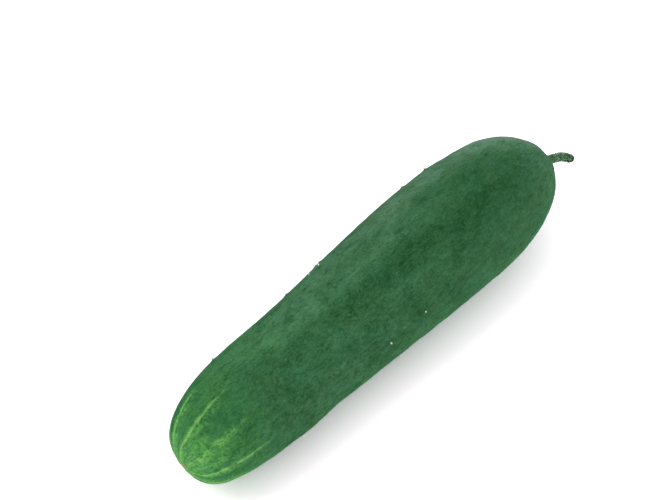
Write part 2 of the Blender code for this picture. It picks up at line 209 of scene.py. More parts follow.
# Colours, as linear red, green and blue.
SKIN_DARK = (0.0062, 0.058, 0.0138)
SKIN_LIGHT_WARM, SKIN_LIGHT_COOL = (0.064, 0.19, 0.072), (0.054, 0.193, 0.089)
SKIN_BLOOM, YOUNG_BLOOM = (0.079, 0.224, 0.108), (0.06, 0.215, 0.074)
# The dusty bloom colour is also the colour of the painted sheen on the upper side.
DUST_AND_SHEEN_BLOOM = (0.13, 0.245, 0.165)
LEAF_DARK, LEAF_LIGHT = (0.008, 0.095, 0.023), (0.094, 0.327, 0.072)
LEAF_COOL, STREAK_GREEN = (0.05, 0.2, 0.08), (0.17, 0.402, 0.1)
# A wart's dark green is partly its own colour and partly a painted shade, and its pale colour is partly
# scuffed and partly a painted highlight.
WART_DARK_AND_SHADE, WART_PALE_AND_HIGHLIGHT = (0.004, 0.026, 0.008), (0.115, 0.27, 0.13)
PORE_GREEN, COLLAR_GREEN = (0.004, 0.04, 0.01), (0.07, 0.16, 0.07)
SCAR_DARK, SCAR_LIGHT = (0.14, 0.105, 0.05), (0.36, 0.29, 0.17)
SPINE_FOOT_GREEN, SPINE_WHITE = (0.3, 0.48, 0.26), (0.86, 0.95, 0.8)
STEM_DARK, STEM_LIGHT = (0.003, 0.024, 0.008), (0.056, 0.19, 0.07)
# The stem's top light green is a painted light on the side that faces up.
STEM_RIB_GREEN, STEM_TOP_LIGHT_GREEN = (0.18, 0.34, 0.17), (0.16, 0.26, 0.17)
STEM_FOOT_GREEN = (0.038, 0.138, 0.056)
FLESH_DARK, FLESH_LIGHT = (0.15, 0.25, 0.09), (0.3, 0.42, 0.19)
FLESH_CORE = (0.11, 0.17, 0.07)
HAIR_DARK, HAIR_LIGHT = (0.03, 0.12, 0.04), (0.34, 0.54, 0.34)
TABLE_WHITE = (1.8, 1.66, 1.78, 1)

# Noise. The groups take sizes in millimetres. A plain noise is given as size in millimetres, detail,
# roughness and distortion. "Drawn" is the scale along X, which draws a noise out where it is below 1.
MOTTLE_NOISE, GRAIN_NOISE, GRAIN_FINENESS = (3.0, 0.75), (2.0, 0.8), 5.0
MEAN_GIRTH = 0.026              # the girth that the width of a fibre is measured at
SPECKLE = {"Blotch_mm": 5.0, "Sweep": 0.6}
WISP, WISP_DRAWN = {"Blotch_mm": 6.0, "Sweep": 2.2}, 0.55
CLOUD, CLOUD_DRAWN = {"Blotch_mm": 34.0}, 0.45
FIBRE = {"Width_mm": 1.5, "Length_mm": 7.0, "Wander": 1.2}
STROKE = {"Width_mm": 3.0, "Length_mm": 3.6, "Wander": 0.8}
BLOTCH_NOISE, BLOTCH_DRAWN = (15, 1.0, 0.5, 0.0), 0.6
PORE_NOISE, PORE_DRAWN = (2.2, 1.5, 0.6, 0.4), 0.5
COOL_NOISE, FLECK_NOISE, SCUFF_AND_HIGHLIGHT_NOISE = (11, 3.0, 0.7, 0.5), (1.2, 2.0, 0.7, 0.8), (1.3, 1.0, 0.6, 0.0)
SPINE_SPECKLE, HAIR_SPECKLE = {"Blotch_mm": 14.0}, {"Blotch_mm": 1.5}
STEM_SPECKLE = {"Blotch_mm": 1.6, "Sweep": 0.8}

# A "by" below is a ramp that turns one reading into a strength: the reading's low and high, and the
# strength at each, which is 0 and 1 where it isn't given. A "sway" is how far a noise moves a tone.

# The body's green: the tone that it starts from, what shifts it, and how the bloom lies on it.
SPECKLE_SWAY, WISP_SWAY, FIBRE_SWAY, GRAIN_SWAY, CLOUD_SWAY, BLOTCH_SWAY = 1.1, 1.6, 1.35, 1.6, 0.9, 0.55
BASE_TONE, SHADE_DEPTH, TONE_SPAN, LEAST_TONE = 0.65, 0.8, 0.625, 0.03
MOTTLE_BY_SHARE, TONE_BY_SHARE = (0.15, 0.80, 1.1, 0.80), (0.76, 0.94, 0.0, 0.15)
COOL_BY_NOISE, COOL_BY_SHARE = (0.36, 0.64), (0.84, 0.97, 0.0, 0.9)
WAXY_BY_SHARE, BLOOM_BY_SHARE = (0.12, 0.40), (0.82, 0.97, 0.0, 0.24)
BLOOM_BY_CLOUD, BLOOM_MOTTLE_BY_SHARE = (0.3, 0.7, 0.6, 1.1), (0.75, 0.95, 1.2, 2.2)

# The blossom end's green: where it comes in, its tone, its dots, and where it turns cool.
YOUNG_BY_SHARE, YOUNG_POWER, YOUNG_FIBRE_SWAY, YOUNG_CLOUD_SWAY = (0.245, 0.0), 1.5, 0.10, 0.08
LEAF_TONE, LEAF_MOTTLE, LEAF_HALO, LEAF_BANDS, STROKE_PART = 0.26, 0.50, 0.18, 0.5, 0.5
DOTS_BY_FLECK, DOTS_BY_HALO = (0.45, 0.58), (0.0, 0.9, 0.08, 0.80)
LEAF_COOL_BY_FLECK, LEAF_COOL_BY_HALO = (0.45, 0.57, 0.46, 0.12), (0.2, 0.9, 1.0, 0.0)

# A streak's course: how far it wavers, the shares of its length from which it and its halo fade, where
# it starts, and how it tapers, swells, dims and breaks up.
STREAK_BY_RAGGED = (0.25, 0.75, -0.0007, 0.0007)
STREAK_FADES, HALO_FADES, STREAK_START = 0.45, 0.1, (0.0015, 0.0060)
WIDTH_BY_FADE, WIDTH_BY_PATCHY = (0.0, 1.0, 0.6, 1.0), (0.3, 0.7, 0.55, 1.45)
LIGHT_BY_PATCHY = (0.25, 0.65, 0.35, 1.15)
BROKEN_BY_WIDTH, LIGHT_BY_FLECK = (0.0006, 0.0014, 0.3, 0.9), (0.43, 0.57, -1.0, 0.9)

# Pores, warts, the flower's scar with the pale ring round it, and the collar round the stem. The last
# three are read by the distance from where the ridges meet.
DARK_BY_PORE, PALE_BY_PORE = (0.66, 0.76, 0.0, 0.40), (0.34, 0.25, 0.0, 0.30)
# Where a wart turns pale is partly scuffing and partly a painted highlight, and its darkening is partly a
# painted shade.
SCUFF_AND_HIGHLIGHT_BY_NOISE, GREEN_BY_WART = (0.48, 0.60), (0.25, 0.85, 0.0, 0.50)
SCAR_BY_DISTANCE, SCAR_RAGGED, SCAR_STRENGTH = (0.0021, 0.0013), 0.001, 0.9
RING_BY_DISTANCE, RING_STRENGTH = (0.0042, 0.0022), 0.35
COLLAR_BY_DISTANCE, COLLAR_STRENGTH = (0.0068, 0.0040), 0.5

# The skin's gloss and bump. Its specular level falls to nothing as the skin turns edge on.
SKIN_ROUGH, ROUGH_CLOUD_SWAY, ROUGH_GRAIN_SWAY, SCAR_ROUGH = 0.42, 0.12, 0.10, 0.3
SKIN_SPECULAR, SPECULAR_FADE = 0.06, (0.10, 0.65)
SHEEN_WEIGHT, SHEEN_ROUGHNESS = 0.06, 0.35
WISP_BUMP, GRAIN_BUMP, FIBRE_BUMP = 0.5, 0.4, 0.3
SKIN_BUMP = {"Strength": 0.6, "Distance": 0.00030}

# The spines, the stem and its hairs. The stem is read by the share gone along it, its ribs, how far its
# side faces up, and how far in from the rim a point on its cut is.
WHITE_BY_SPECKLE, ROUGH_BY_GRAIN = (0.42, 0.56), (0.0, 1.0, 0.25, 0.45)
LIGHT_BY_SPECKLE, ROUGH_BY_SPECKLE = (0.42, 0.62), (0.0, 1.0, 0.5, 0.8)
PALE_BY_RIB, RIBS_BY_GONE = (-0.2, 1.0, 0.0, 0.5), (0.15, 0.5)
# The stem's upward side is drawn paler, in speckles, as a painted light.
TOP_LIGHT_BY_UP, TOP_LIGHT_BY_SPECKLE = (0.2, 0.95, 0.0, 0.55), (0.35, 0.6, 0.3, 1.0)
FOOT_BY_GONE, RIM_BY_GONE = (0.46, 0.20, 0.0, 0.8), (0.90, 0.95, 0.0, 0.85)
CORE_BY_CUT, FLESH_BY_CUT = (0.55, 0.8), (0.08, 0.30)
STEM_SPECULAR, STEM_BUMP = 0.08, {"Strength": 0.7, "Distance": 0.0002}
HAIR_BY_SPECKLE, HAIR_ROUGH = (0.35, 0.65), 0.6

# The table, and the light: the room's white, and the key's strength, spread and the way it comes from.
TABLE_HALF, TABLE_ROUGH = 8.0, 0.9
ROOM_WHITE = (0.84, 0.84, 0.84)
KEY_STRENGTH, KEY_SPREAD = 0.80, math.radians(55)
KEY_FROM = (-0.35, 0.55, 0.85)

# The photograph's camera.
LENS_MM, SENSOR_MM = 135, 36
CAMERA_SWING, CAMERA_RISE = math.radians(46.4), math.radians(50.0)
CAMERA_DISTANCE = 1.0435
AIM = Vector((-0.00111, 0.02438, 0.04071))


def smooth(low, high, value):
    """0 below low, 1 above high, and the S curve 3tt - 2ttt between them."""
    t = np.clip((value - low) / (high - low), 0, 1)
    return t * t * (3 - 2 * t)


def apart(angle, turn):
    """How far one angle in degrees is past another, from -180 to 180."""
    return (angle - turn + 180) % 360 - 180


def rounding(share, reach, bluntness):
    """A superellipse end: 0 at the tip, 1 from reach onwards."""
    t = np.clip(share / reach, 0, 1)
    return (1 - (1 - t) ** bluntness) ** (1 / bluntness)


def girth(share):
    """The radius without its rounded ends: the thinner one, eased into the thicker one."""
    return BLOSSOM_GIRTH + (STEM_GIRTH - BLOSSOM_GIRTH) * smooth(SWELL_FROM, SWELL_TO, share)


def profile(share):
    """The mean radius: the girth times both rounded ends."""
    blossom = rounding(share, BLOSSOM_REACH, BLOSSOM_BLUNTNESS)
    return girth(share) * (blossom * rounding(1 - share, STEM_REACH, STEM_BLUNTNESS))


def core_line(share):
    """The middle of each cross-section: one radius above the table, bowed, and swung aside at both ends."""
    blossom = np.clip(1 - share / BLOSSOM_REACH, 0, 1) ** 3
    stem = np.clip(1 - (1 - share) / STEM_REACH, 0, 1) ** 3
    seat = np.exp(-((profile(share) / SEAT_DRIFT) ** 2)) * (share > 0.5)
    bow = (2 * share - 1) ** 2
    y, z = (
        BOW[k] * bow + BLOSSOM_LEAN[k] * blossom + STEM_LEAN[k] * stem + SEAT_OFFSET[k] * seat
        for k in (0, 1)
    )
    return (share - 0.5) * LENGTH, y, z + girth(share) - REST_DEPTH


def flow(share, angle):
    """A point's place in its cross-section, along Y and Z, from where the ridges meet: the scar for
    points as near the tip as the scar, and the core line further up."""
    mean = profile(share)
    scar_y, scar_z = SCAR_PLACE
    pull = np.exp((scar_y**2 + scar_z**2 - mean**2) / FLOW_RADIUS**2) * (share < 0.5)
    return mean * np.cos(angle) - pull * scar_y, mean * np.sin(angle) - pull * scar_z


def ridge_wave(angle):
    """A cosine whose phase is stretched between the ridges: 1 on each ridge and -1 in each groove."""
    turns = TURN * np.arange(len(RIDGES) + 1)
    places = np.append(RIDGES, RIDGES[0] + TURN)
    return np.cos(np.interp((angle - RIDGES[0]) % TURN + RIDGES[0], places, turns))


def relief(share, angle):
    """How far the skin stands off the mean radius: ridges, bell-shaped swellings and long slow waves."""
    to_end = np.minimum(share, 1 - share)
    flatter = (END_RIDGE_HEIGHT - RIDGE_HEIGHT) * smooth(0, END_RIDGE_REACH, to_end)
    flow_y, flow_z = flow(share, angle)
    height = (END_RIDGE_HEIGHT - flatter) * ridge_wave(np.arctan2(flow_z, flow_y))
    for place, turn, rise, reach, spread in SWELLINGS:
        across = apart(np.degrees(angle), turn)
        height = height + rise * np.exp(-((share - place) / reach) ** 2 - (across / spread) ** 2)
    for along, start, around, turned in SLOW_WAVES:
        wave = SLOW_WAVE_HEIGHT * np.sin(TURN * along * share + start)
        height = height + wave * np.cos(around * angle + turned)
    return height


def skin(share, angle):
    """The skin's point at a share and an angle: the core line plus the radius, which has three blunt
    lobes and the relief, with a dish at the stem's seat and another at the flower's scar."""
    x, y, z = core_line(share)
    mean = profile(share)
    fullness = mean / girth(share)
    radius = mean * (1 + LOBE_SHARE * np.cos(3 * (angle - LOBE_TURN)) * fullness)
    radius = radius + relief(share, angle) * fullness
    pit = SEAT_DEPTH * np.exp(-((np.maximum(mean - SEAT_RADIUS, 0) / PIT_RADIUS) ** 2))
    scar = SCAR_DEPTH * np.exp(-((np.hypot(*flow(share, angle)) / SCAR_RADIUS) ** 2))
    x = x - pit * (share > 0.5) + scar * (share < 0.5)
    return np.stack(np.broadcast_arrays(x, y + radius * np.cos(angle), z + radius * np.sin(angle)), -1)


def outward_of(share, angle):
    """The skin's unit normals: the cross product of its two directions, from small steps each way."""
    step = 1e-3
    along = skin(share + step, angle) - skin(share - step, angle)
    around = skin(share, angle + step) - skin(share, angle - step)
    normal = np.cross(around, along)
    return normal / np.linalg.norm(normal, axis=-1, keepdims=True)


def random_waves(points, wavelength, seed, stretch):
    """A smooth random height at each point, about -1 to 1: the mean of plane waves of one wavelength
    in random directions. A stretch above 1 draws the waves out along X."""
    draw = np.random.default_rng(seed)
    direction = draw.normal(size=(WAVE_COUNT, 3))
    direction /= np.linalg.norm(direction, axis=1, keepdims=True)
    direction[:, 0] /= stretch
    phase = draw.uniform(0, TURN, WAVE_COUNT)
    total = np.zeros(points.shape[:-1])
    for way, shift in zip(direction * TURN / wavelength, phase):
        total += np.cos(points @ way + shift)
    return total / math.sqrt(WAVE_COUNT)


def carving(points, kinds):
    """The fine relief at each point: the sum of its kinds, each lowered and scaled to its depth."""
    height = 0.0
    for depth, wavelength, seed, stretch, lowered in kinds:
        height = height + depth * (random_waves(points, wavelength, seed, stretch) - lowered)
    return height


def spine_places():
    """Where each spine stands, as (share, angle): even steps along a row, each with a seeded stray."""
    draw = random.Random(SPINE_SEED)
    first, last = SPINE_SHARES
    places = [(share, math.radians(turn)) for share, turn in UPPER_SPINES]
    for turn, count in SPINE_ROWS:
        step = (last - first) / count
        for i in range(count):
            share = first + step * (i + 0.5 + draw.uniform(-SPINE_STEP_STRAY, SPINE_STEP_STRAY))
            places.append((share, math.radians(turn) + draw.uniform(-SPINE_STRAY, SPINE_STRAY)))
    return np.array(places)


def wart_places():
    """The places of all the warts: those under the spines, and those that have lost theirs."""
    bare = [(share, math.radians(turn)) for share, turn in BARE_WARTS]
    return np.vstack([spine_places(), bare])


def ring_shares(count):
    """Shares at even steps of arc length along the profile, from close to the blossom tip up to the
    seat's rim."""
    share = 0.5 - 0.5 * np.cos(math.pi * np.linspace(0, 1, PROFILE_SAMPLES))
    radius = profile(share)
    run = np.concatenate([[0], np.cumsum(np.hypot(np.diff(share * LENGTH), np.diff(radius)))])
    rim = run[np.nonzero(radius > SEAT_RADIUS)[0][-1]]
    return np.interp(np.linspace(0, rim, count + 1)[1:], run, share)


def with_ends(rows):
    """The rows of a grid as one list, then the middle of its first row and the middle of its last."""
    return np.concatenate([rows.reshape(-1, 3), [rows[0].mean(0), rows[-1].mean(0)]])


def surface_piece(name, rows):
    """A closed skin over a grid of points, rows along and steps round. Faces run row by row, and a fan
    closes each end about the middle of its last row."""
    count, steps = rows.shape[:2]
    step = np.arange(steps)
    after = (step + 1) % steps
    row = np.arange(count - 1)[:, None] * steps
    quads = np.stack([row + step, row + after, row + steps + after, row + steps + step], -1)
    first, last = count * steps, count * steps + 1
    start = np.stack([np.full(steps, first), after, step], -1)
    end = np.stack([np.full(steps, last), (count - 1) * steps + step, (count - 1) * steps + after], -1)
    return mesh_piece(name, with_ends(rows), quads.reshape(-1, 4), np.vstack([start, end]))


def mesh_piece(name, points, quads, triangles=np.empty((0, 3), int)):
    """Puts arrays of points, quads and triangles into a new smooth mesh object."""
    mesh = bpy.data.meshes.new(name)
    loops = np.concatenate([quads.ravel(), triangles.ravel()]).astype(np.int32)
    starts = np.concatenate([np.arange(len(quads)) * 4, len(quads) * 4 + np.arange(len(triangles)) * 3])
    mesh.vertices.add(len(points))
    mesh.vertices.foreach_set("co", np.asarray(points, np.float32).ravel())
    mesh.loops.add(len(loops))
    mesh.loops.foreach_set("vertex_index", loops)
    mesh.polygons.add(len(starts))
    mesh.polygons.foreach_set("loop_start", starts.astype(np.int32))
    mesh.update(calc_edges=True)
    mesh.validate()
    mesh.shade_smooth()
    piece = bpy.data.objects.new(name, mesh)
    bpy.context.scene.collection.objects.link(piece)
    return piece


def give_marks(piece, name, rows):
    """Stores one vector at each vertex of a surface piece, which its material reads by name. The two
    end points take the mean of the rings beside them."""
    attribute = piece.data.attributes.new(name, "FLOAT_VECTOR", "POINT")
    attribute.data.foreach_set("vector", with_ends(rows).astype(np.float32).ravel())


def band_tone(share, angle):
    """How light the skin's bloom is and how dark its tone, with painted sheen and painted shade among them:
    the sum of the bands, each a bell across its width that eases in at its first share and out at its last,
    and of the patches, each a bell along and across."""
    tone = np.zeros(np.broadcast(share, angle).shape)
    flow_y, flow_z = flow(share, angle)
    turned = np.degrees(np.arctan2(flow_z, flow_y))
    for turn, half_width, first, last, strength in BANDS:
        across = apart(turned + BAND_SWAY * np.sin(TURN * BAND_SWAYS * share + turn), turn)
        fade_in = smooth(first + BAND_FADE_IN[0], first + BAND_FADE_IN[1], share)
        fade_out = 1 - smooth(last + BAND_FADE_OUT[0], last + BAND_FADE_OUT[1], share)
        tone = tone + strength * (fade_in * fade_out) * np.exp(-((across / half_width) ** 2))
    for place, turn, half_length, half_width, strength in PATCHES:
        across = apart(turned, turn)
        tone = tone + strength * np.exp(-((share - place) / half_length) ** 2 - (across / half_width) ** 2)
    return tone


def dust_and_sheen(share, angle):
    """How much dusty bloom and painted sheen a point has: a bell of painted sheen over the side that faces
    up and away, wider towards the stem, where some dusty bloom lies all round."""
    end = smooth(*DUST_AND_SHEEN_END, share)
    across = (np.degrees(angle) - SHEEN_ANGLE) / (SHEEN_HALF_WIDTH + (SHEEN_END_WIDTH - SHEEN_HALF_WIDTH) * end)
    side = np.exp(-(across**2)) * smooth(*SHEEN_FROM, share)
    return side * (1 - DUST_ALL_ROUND * end) + DUST_ALL_ROUND * end


def wart_strength(points):
    """A bell round each wart's middle, by the distance in space."""
    places = wart_places()
    middles = skin(places[:, 0], places[:, 1])
    strength = np.zeros(points.shape[:-1])
    for middle in middles:
        gap = points - middle
        strength = np.maximum(strength, np.exp(-(gap**2).sum(-1) / WART_SPREAD**2))
    return strength


def make_fruit():
    """The fruit's fine skin: the solid's own formula, then dents and ripples carved inward along the
    normal, warts raised on it, and everything below the table pressed flat onto it."""
    angle = TURN * np.arange(FRUIT_STEPS) / FRUIT_STEPS
    share_grid, angle_grid = np.meshgrid(ring_shares(FRUIT_RINGS), angle, indexing="ij")
    rows = skin(share_grid, angle_grid)
    warts = wart_strength(rows)
    height = carving(rows, SKIN_RELIEF) + WART_HEIGHT * warts
    rows = rows + height[..., None] * outward_of(share_grid, angle_grid)
    rows[..., 2] = np.maximum(rows[..., 2], 0.0)
    middle = rows[-1].mean(0)
    inward = np.linspace(1, SEAT_INNER, SEAT_RINGS + 1)[1:, None, None]
    fruit = surface_piece("fruit_skin", np.concatenate([rows, middle + (rows[-1] - middle) * inward]))
    flow_y, flow_z = flow(share_grid, angle_grid)
    # The marks hold the warts, the bands' tone with its painted sheen and painted shade, and the amount of
    # painted sheen and dusty bloom.
    for name, grid in (
        ("flow", np.stack([flow_y, flow_z, share_grid], -1)),
        ("marks", np.stack([warts, band_tone(share_grid, angle_grid), dust_and_sheen(share_grid, angle_grid)], -1)),
    ):
        give_marks(fruit, name, np.concatenate([grid, grid[-1:].repeat(SEAT_RINGS, axis=0)]))
    return fruit


def turned_to(turn, side, across):
    """A unit vector turned by an angle from one side towards the other: their cosine and sine sum."""
    return np.cos(turn)[..., None] * side + np.sin(turn)[..., None] * across


def cones(name, places, normals, profile_steps, sides, tilts):
    """Many small turned cones in one mesh. Each is a profile of (radius, height) steps turned about
    its own axis, which is the normal leaned a little, and closed by a point past its last ring."""
    turns = TURN * np.arange(sides) / sides
    steps = np.array(profile_steps)
    axis = normals + tilts
    axis /= np.linalg.norm(axis, axis=1, keepdims=True)
    side = np.cross(axis, np.array(ASKEW))
    side /= np.linalg.norm(side, axis=1, keepdims=True)
    ring = turned_to(turns, side[:, None, None], np.cross(axis, side)[:, None, None])
    points = places[:, None, None] + steps[None, :, None, 0, None] * ring
    points = points + steps[None, :, None, 1, None] * axis[:, None, None]
    count, levels = len(places), len(steps)
    tips = points[:, -1].mean(1) + axis * TIP_RISE * steps[-1, 0]
    roots = points[:, 0].mean(1)
    base = np.arange(count)[:, None, None] * levels * sides
    low = base + np.arange(levels - 1)[None, :, None] * sides
    high = low + sides
    step = np.arange(sides)[None, None]
    after = (step + 1) % sides
    quads = np.stack([low + step, low + after, high + after, high + step], -1)
    top = base[:, 0] + (levels - 1) * sides
    tip = (count * levels * sides + np.arange(count))[:, None] + 0 * step[0]
    root = tip + count
    end = np.stack([tip, top + step[0], top + after[0]], -1)
    start = np.stack([root, base[:, 0] + after[0], base[:, 0] + step[0]], -1)
    every = np.vstack([points.reshape(-1, 3), tips, roots])
    return mesh_piece(name, every, quads.reshape(-1, 4), np.concatenate([end, start]).reshape(-1, 3))


def make_spines():
    """A short white spine with a bulbous foot on each wart, its root sunk in the skin."""
    places = spine_places()
    points = skin(places[:, 0], places[:, 1])
    normals = outward_of(places[:, 0], places[:, 1])
    lean = np.random.default_rng(SPINE_SEED).normal(0, SPINE_LEAN, points.shape)
    return cones("spines", points, normals, SPINE_PROFILE, SPINE_SIDES, lean)


def stem_curve(count):
    """Points evenly along a smooth curve through STEM_PATH, and the curve's direction at each: the
    Catmull-Rom cubic between each two points, measured and cut at even runs."""
    knots = np.array(STEM_PATH)
    ends = np.vstack([2 * knots[0] - knots[1], knots, 2 * knots[-1] - knots[-2]])
    dense = []
    t = np.linspace(0, 1, CURVE_SAMPLES, endpoint=False)[:, None]
    for a, b, c, d in zip(ends, ends[1:], ends[2:], ends[3:]):
        bend = (2 * a - 5 * b + 4 * c - d) * t**2 + (3 * b - a - 3 * c + d) * t**3
        dense.append(b + 0.5 * ((c - a) * t + bend))
    dense = np.vstack(dense + [knots[-1:]])
    run = np.concatenate([[0], np.cumsum(np.linalg.norm(np.diff(dense, axis=0), axis=1))])
    wanted = np.linspace(0, run[-1], count)
    points = np.stack([np.interp(wanted, run, dense[:, k]) for k in range(3)], -1)
    direction = np.gradient(points, axis=0)
    direction[0] = (1, 0, 0)
    return wanted, points, direction / np.linalg.norm(direction, axis=1, keepdims=True)


def stem_sides(direction):
    """Two unit vectors square to each direction, carried along the curve without twisting."""
    side = np.array([0.0, 0.0, 1.0])
    sides = []
    for forward in direction:
        side = side - forward * (side @ forward)
        side = side / np.linalg.norm(side)
        sides.append(side)
    sides = np.array(sides)
    return sides, np.cross(direction, sides)


def stem_radius(run, turn, length):
    """The stem's radius: a flared foot, five ribs, and a worn rim round the cut."""
    foot = np.clip(1 - run / STEM_FOOT_LENGTH, 0, 1) ** 2
    mean = STEM_RADIUS + (STEM_FOOT_RADIUS - STEM_RADIUS) * foot
    rim = np.clip(1 - (length - run) / STEM_RIM_LENGTH, 0, 1) ** 2
    ribbed = 1 + STEM_RIB_SHARE * (1 - foot) * np.cos(STEM_RIBS * turn)
    return mean * ribbed * (1 - STEM_RIM_SHRINK * rim)


def stem_origin():
    """Where the stem's line starts: the middle of its seat, and the joint's gap out from it."""
    rim = skin(ring_shares(1)[-1], TURN * np.arange(SEAT_SAMPLES) / SEAT_SAMPLES)
    return rim.mean(axis=0) + [JOINT_GAP, 0, 0]


def make_stem():
    """The stem's fine skin: its radius carried round its curve and knobbled by random waves, its foot
    sunk into the seat, and at its end a cut face with a shallow dish."""
    turn = TURN * np.arange(STEM_STEPS) / STEM_STEPS
    run, line, direction = stem_curve(STEM_RINGS)
    side, across = stem_sides(direction)
    ring = turned_to(turn[None], side[:, None], across[:, None])
    radius = stem_radius(run[:, None], turn[None], run[-1])
    rows = line[:, None] + radius[..., None] * ring
    rows = line[:, None] + (radius + carving(rows, STEM_RELIEF))[..., None] * ring
    inward = np.linspace(CUT_FIRST, CUT_LAST, CUT_RINGS)
    cut = line[-1] + (rows[-1] - line[-1]) * inward[:, None, None]
    dish = CUT_DISH * (1 - smooth(DISH_FLOOR, DISH_RIM, inward))
    hollow = dish[:, None] - carving(cut, CUT_RELIEF)
    cut = cut - hollow[..., None] * direction[-1]
    sunk = rows[:1] * [0, 1, 1] - [FOOT_SINK, 0, 0]
    stem = surface_piece("stem_skin", np.concatenate([sunk, rows, cut]) + stem_origin())
    on_cut = np.concatenate([np.zeros(1 + STEM_RINGS), 1 - inward])[:, None]
    gone = np.concatenate([[0], run / run[-1], np.ones(CUT_RINGS)])[:, None]
    give_marks(stem, "marks", np.stack(np.broadcast_arrays(on_cut, gone, np.cos(STEM_RIBS * turn)), -1))
    give_marks(stem, "outward", np.concatenate([ring[:1], ring, ring[-1:].repeat(CUT_RINGS, axis=0)]))
    return stem


def make_hairs():
    """Short stiff hairs on the stem past its foot, at seeded places, thickest on its ribs."""
    draw = np.random.default_rng(HAIR_SEED)
    run, line, direction = stem_curve(STEM_RINGS)
    side, across = stem_sides(direction)
    where = draw.integers(int(HAIRS_FROM * STEM_RINGS), int(HAIRS_TO * STEM_RINGS), HAIR_COUNT)
    rib = draw.integers(0, STEM_RIBS, HAIR_COUNT)
    turn = TURN * (rib + draw.normal(0, HAIR_STRAY, HAIR_COUNT)) / STEM_RIBS
    ring = turned_to(turn, side[where], across[where])
    radius = stem_radius(run[where], turn, run[-1]) - HAIR_SINK
    points = line[where] + radius[:, None] * ring + stem_origin()
    lean = draw.normal(0, HAIR_LEAN, points.shape)
    return cones("stem_hairs", points, ring, HAIR_PROFILE, HAIR_SIDES, lean)


class Wires:
    """Short calls that add a node to a shader tree and wire it up."""

    def __init__(self, tree):
        self.tree = tree

    def add(self, kind, inputs=(), **settings):
        node = self.tree.nodes.new(kind)
        for key, value in settings.items():
            setattr(node, key, value)
        self.fill(node, inputs)
        return node

    def feed(self, socket, value):
        if isinstance(value, bpy.types.NodeSocket):
            self.tree.links.new(value, socket)
        else:
            socket.default_value = value

    def fill(self, node, values):
        """Sets or wires a node's inputs, each by its name or number."""
        for label, value in dict(values).items():
            self.feed(node.inputs[label], value)

    def math(self, operation, *values):
        return self.add("ShaderNodeMath", enumerate(values), operation=operation).outputs[0]

    def chain(self, operation, values):
        result = values[0]
        for value in values[1:]:
            result = self.math(operation, result, value)
        return result

    def times(self, *values):
        return self.chain("MULTIPLY", values)

    def plus(self, *values):
        return self.chain("ADD", values)

    def minus(self, first, second):
        return self.math("SUBTRACT", first, second)

    def over(self, first, second):
        return self.math("DIVIDE", first, second)

    def larger(self, first, second):
        return self.math("MAXIMUM", first, second)

    def smaller(self, first, second):
        return self.math("MINIMUM", first, second)

    def bell(self, value):
        """The bell curve: e to the power of minus the value squared."""
        return self.math("EXPONENT", self.times(value, value, -1.0))

    def swing(self, mask, strength):
        """How far a mask is from its middle, times a strength."""
        return self.times(self.minus(mask, 0.5), strength)

    def ramp(self, value, low, high, out_low=0.0, out_high=1.0, kind="SMOOTHSTEP"):
        """What a value between low and high turns into. Low may be the greater of the two."""
        inputs = {"Value": value, "From Min": low, "From Max": high, "To Min": out_low, "To Max": out_high}
        return self.add("ShaderNodeMapRange", inputs, interpolation_type=kind).outputs["Result"]

    def mix(self, share, first, second):
        """A share of the way from the first colour to the second."""
        colours = [c if isinstance(c, bpy.types.NodeSocket) else (*c, 1) for c in (first, second)]
        inputs = {0: share, 6: colours[0], 7: colours[1]}
        return self.add("ShaderNodeMix", inputs, data_type="RGBA").outputs[2]

    def noise(self, vector, scale, detail, roughness, distortion=0.0):
        inputs = {"Vector": vector, "Scale": scale, "Detail": detail, "Roughness": roughness,
                  "Distortion": distortion}
        return self.add("ShaderNodeTexNoise", inputs).outputs["Fac"]

    def spots(self, vector, size_mm, *kind):
        """Plain noise of a size in millimetres."""
        return self.noise(vector, 1 / (size_mm * MM), *kind)

    def drawn(self, vector, along):
        """A place scaled along X, which draws its noise out where the scale is below 1."""
        return self.add("ShaderNodeMapping", {"Vector": vector, "Scale": (along, 1, 1)}).outputs[0]

    def parts(self, vector):
        return self.add("ShaderNodeSeparateXYZ", {0: vector}).outputs

    def joined(self, x, y, z):
        return self.add("ShaderNodeCombineXYZ", {"X": x, "Y": y, "Z": z}).outputs[0]

    def in_section(self, part, operation):
        """A vector operation on a flow's place in its cross-section, without its share."""
        place = self.joined(part["X"], part["Y"], 0.0)
        return self.add("ShaderNodeVectorMath", {0: place}, operation=operation).outputs

    def attribute(self, name):
        return self.add("ShaderNodeAttribute", attribute_name=name).outputs["Vector"]

    def place(self):
        return self.add("ShaderNodeTexCoord").outputs["Object"]

    def group(self, tree, **values):
        """A group's outputs. An underline in a value's name is a space in the input's."""
        node = self.add("ShaderNodeGroup", node_tree=tree)
        self.fill(node, {label.replace("_", " "): value for label, value in values.items()})
        return node.outputs

    def bump(self, height, setting):
        return self.add("ShaderNodeBump", {"Height": height, **setting}).outputs[0]


def new_group(name, inputs, outputs):
    """An empty shader node group with named sockets: inputs as name: default, where None is a vector."""
    group = bpy.data.node_groups.new(name, "ShaderNodeTree")
    for label, default in inputs.items():
        kind = "NodeSocketVector" if default is None else "NodeSocketFloat"
        socket = group.interface.new_socket(label, in_out="INPUT", socket_type=kind)
        if default is not None:
            socket.default_value = default
    for label in outputs:
        group.interface.new_socket(label, in_out="OUTPUT", socket_type="NodeSocketFloat")
    wires = Wires(group)
    return group, wires, wires.add("NodeGroupInput").outputs, wires.add("NodeGroupOutput").inputs


def mottle_group():
    """Cloudy mottling whose finer octaves are nearly as strong as the blotches, swept into wisps by the
    distortion, and a fine grain at a fifth of the size."""
    inputs = {"Vector": None, "Blotch mm": 6.0, "Sweep": 0.0}
    group, wires, start, end = new_group("mottle", inputs, ("Mask", "Grain"))
    scale = wires.over(1 / MM, start["Blotch mm"])
    wires.feed(end["Mask"], wires.noise(start["Vector"], scale, *MOTTLE_NOISE, start["Sweep"]))
    finer = wires.times(scale, GRAIN_FINENESS)
    wires.feed(end["Grain"], wires.noise(start["Vector"], finer, *GRAIN_NOISE))
    return group


